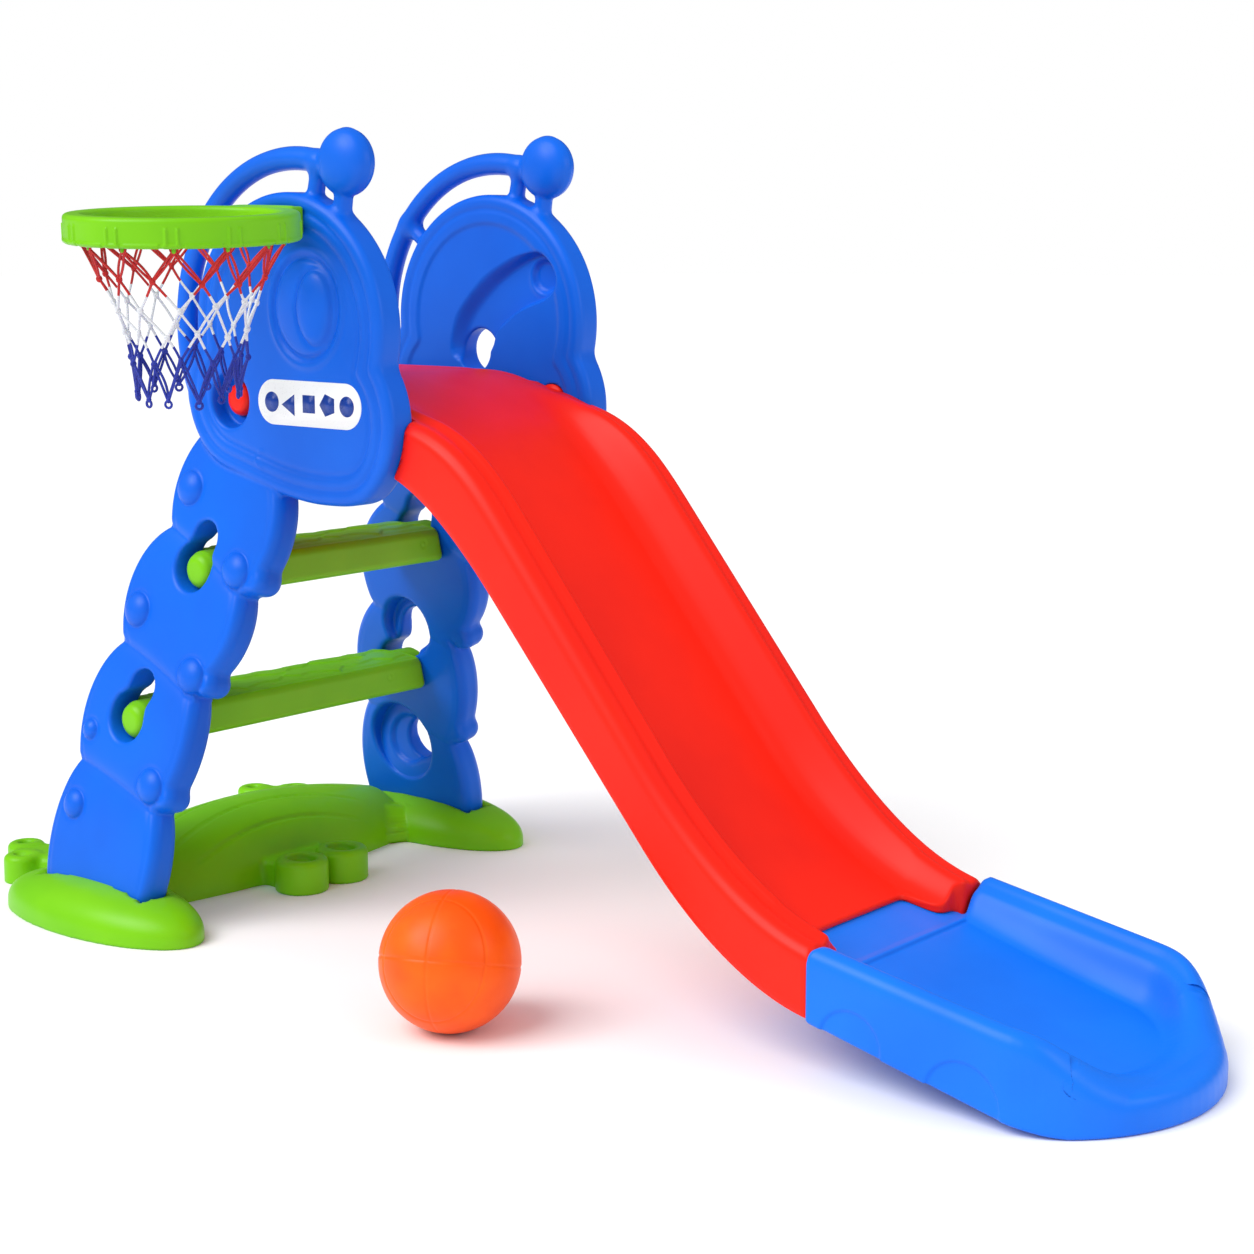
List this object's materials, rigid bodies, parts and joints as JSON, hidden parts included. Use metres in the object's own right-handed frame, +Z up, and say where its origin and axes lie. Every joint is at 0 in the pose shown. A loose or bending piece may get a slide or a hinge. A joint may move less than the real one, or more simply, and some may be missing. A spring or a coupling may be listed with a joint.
{
  "type": "straight slide",
  "caption": "Toddler slide: two side panels shaped as round-headed segmented creatures with handle arches, two steps, a base, a chute with exit extension, a small hoop with net, and a ball.",
  "frame": {"origin": "on the floor, midway between the side panels, under the ladder base's domed body", "axes": "+X from the ladder towards the exit of the slide, +Y towards the left side panel, +Z up"},
  "size_m": [1.798, 0.8968, 1.0564],
  "materials": {
    "blue_plastic": "satin moulded polyethylene",
    "light_blue_plastic": "satin moulded polyethylene",
    "red_plastic": "satin moulded polyethylene",
    "green_plastic": "satin moulded polyethylene",
    "net_cord": "braided polyester cord in red, white and blue",
    "zinc_steel": "zinc plated",
    "label_film": "laminated film",
    "ball_skin": "soft vinyl",
    "black_rubber": "moulded rubber"
  },
  "bodies": {
    "slide": {"right_side_panel": "blue_plastic", "left_side_panel": "blue_plastic", "lower_step": "green_plastic", "upper_step": "green_plastic", "ladder_base": "green_plastic", "chute": "red_plastic", "chute_extension": "light_blue_plastic", "hoop_ring": "green_plastic", "hoop_net": "net_cord", "hoop_screws": "zinc_steel", "hoop_washers": "zinc_steel", "hoop_nuts": "zinc_steel", "base_screws": "zinc_steel", "base_washers": "zinc_steel", "extension_screws": "zinc_steel", "extension_washers": "zinc_steel", "label": "label_film"},
    "ball": {"ball": "ball_skin", "ball_valve": "black_rubber"}
  },
  "joints": [
    {"name": "ball_lift", "type": "slide", "parent": "slide", "child": "ball", "axis": [0, 0, 1], "range_m": [0, 1]}
  ]
}
